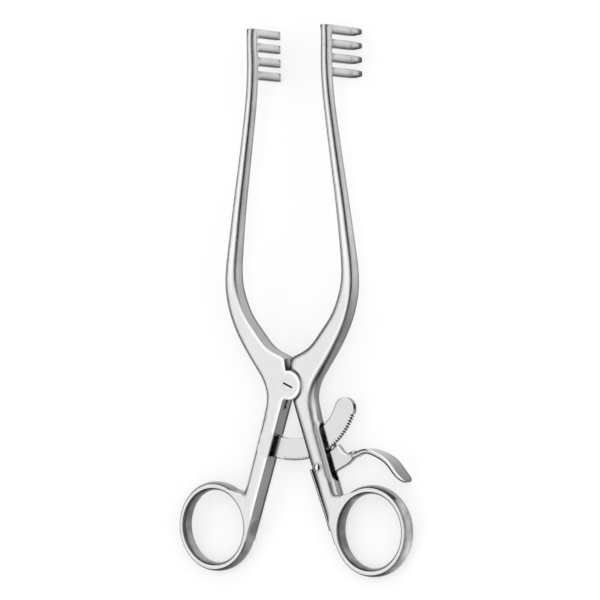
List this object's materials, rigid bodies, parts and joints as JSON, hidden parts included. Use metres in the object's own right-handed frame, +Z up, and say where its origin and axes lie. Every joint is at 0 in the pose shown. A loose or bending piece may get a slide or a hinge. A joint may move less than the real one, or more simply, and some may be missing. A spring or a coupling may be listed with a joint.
{
  "type": "self retaining retractor",
  "caption": "Surgical retractor with two curved arms ending in blunt prongs, ring handles, a curved ratchet bar that holds the arms apart, and a thumb lever that releases it.",
  "frame": {"origin": "on the table under the middle of the instrument as it lies on its prong tips and the backs of its rings", "axes": "+Y towards the prongs, +X to the right seen from above, +Z up"},
  "size_m": [0.0972, 0.1979, 0.0237],
  "materials": {
    "forged_steel": "satin",
    "bar_steel": "satin",
    "lever_steel": "satin",
    "screw_steel": "satin, flush ground",
    "spring_steel": "polished spring steel"
  },
  "bodies": {
    "left_half": {"left_arm": "forged_steel", "ratchet_bar": "bar_steel", "ratchet_bar_rivets": "forged_steel"},
    "right_half": {"right_arm": "forged_steel", "pivot_screw": "screw_steel", "lever_pin": "screw_steel", "leaf_spring_screw": "screw_steel"},
    "lever": {"release_lever": "lever_steel"},
    "spring": {"leaf_spring": "spring_steel"}
  },
  "joints": [
    {"name": "arm_spread", "type": "hinge", "parent": "left_half", "child": "right_half", "pos_m": [0, -0.03125, 0.00959], "axis": [0, 0.0941, -0.9956], "range_deg": [-12, 26.4]},
    {"name": "lever_press", "type": "hinge", "parent": "right_half", "child": "lever", "pos_m": [0.01199, -0.06036, 0.00684], "axis": [0, 0.0941, -0.9956], "range_deg": [-4.7, 5], "stiffness_Nm_per_rad": 0.02, "springref_deg": -9.17},
    {"name": "spring_flex", "type": "hinge", "parent": "right_half", "child": "spring", "pos_m": [0.01545, -0.0784, 0.00514], "axis": [0, 0.0941, -0.9956], "range_deg": [-1.15, 1.08]}
  ],
  "couplings": [
    {"joint": "spring_flex", "follows": "lever_press", "ratio": -0.22}
  ]
}
